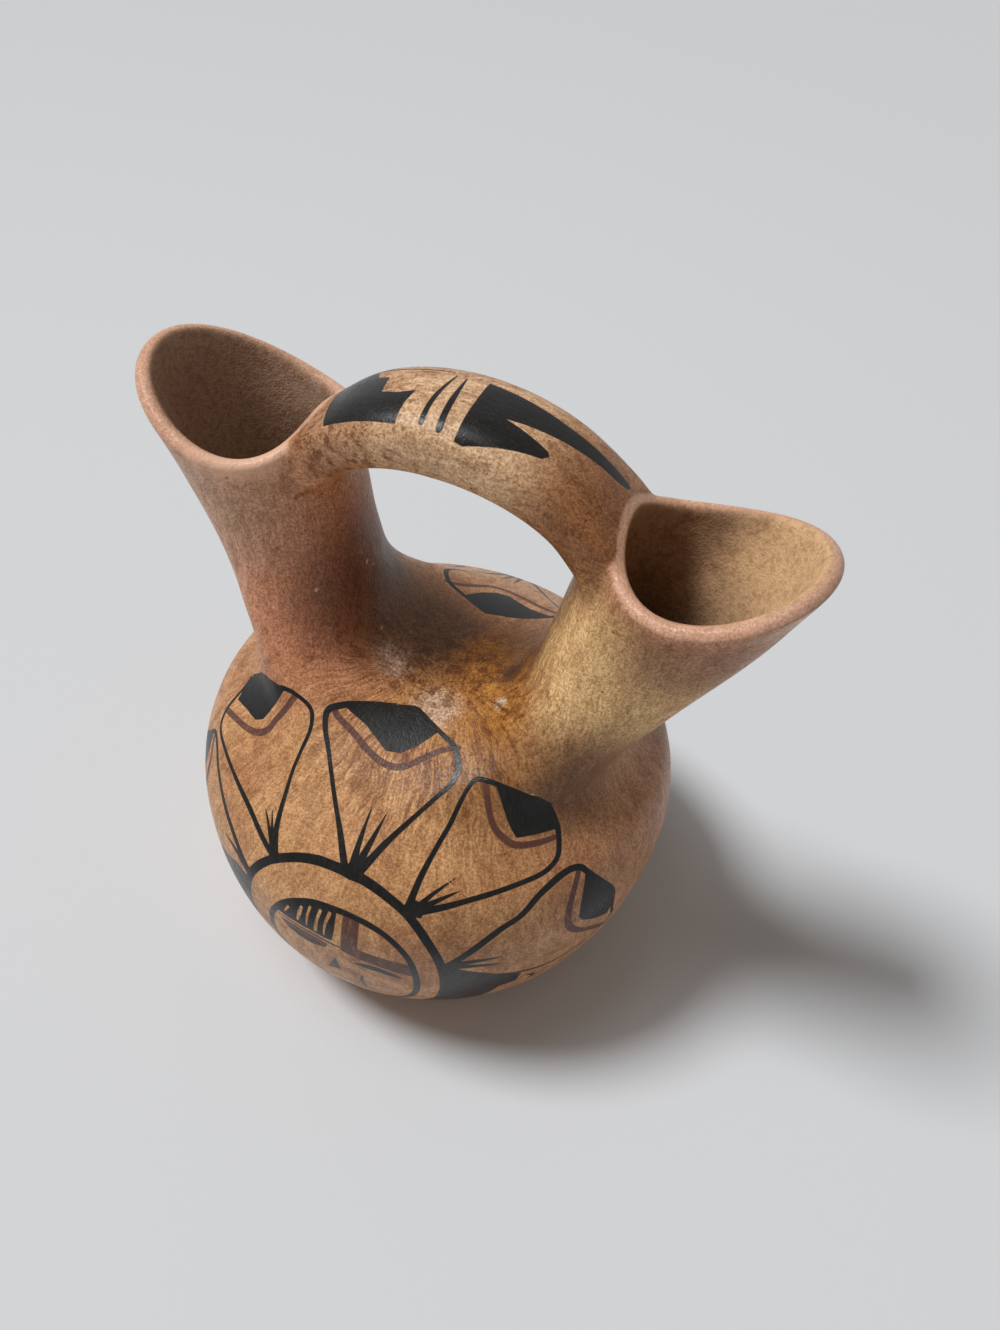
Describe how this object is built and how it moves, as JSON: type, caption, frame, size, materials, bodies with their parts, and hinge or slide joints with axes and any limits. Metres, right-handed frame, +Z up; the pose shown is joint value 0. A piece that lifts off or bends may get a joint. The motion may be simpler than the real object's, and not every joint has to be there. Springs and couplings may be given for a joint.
{
  "type": "wedding vase",
  "caption": "Hand-built ceramic wedding vase: a round body with two leaning, open-mouthed necks joined by a broad strap handle.",
  "frame": {"origin": "centre of the foot, on the surface the vase stands on", "axes": "+Z up, +X towards the right mouth, -Y towards the painted front"},
  "size_m": [0.1732, 0.1428, 0.1846],
  "materials": {
    "body_clay": "stone-polished tan earthenware with fire clouds, satin",
    "painted_clay": "stone-polished buff earthenware painted in matt black and red-brown, satin",
    "neck_clay": "stone-polished earthenware with ochre and umber fire clouds, satin; rough and brown inside",
    "lip_clay": "rounded rose-tan earthenware rim, satin",
    "handle_clay": "stone-polished buff earthenware painted in matt black, satin"
  },
  "bodies": {
    "root": {"base": "body_clay", "lower_wall": "body_clay", "shoulder": "painted_clay", "neck_left": "neck_clay", "neck_right": "neck_clay", "lip_left": "lip_clay", "lip_right": "lip_clay", "handle": "handle_clay"}
  },
  "joints": []
}
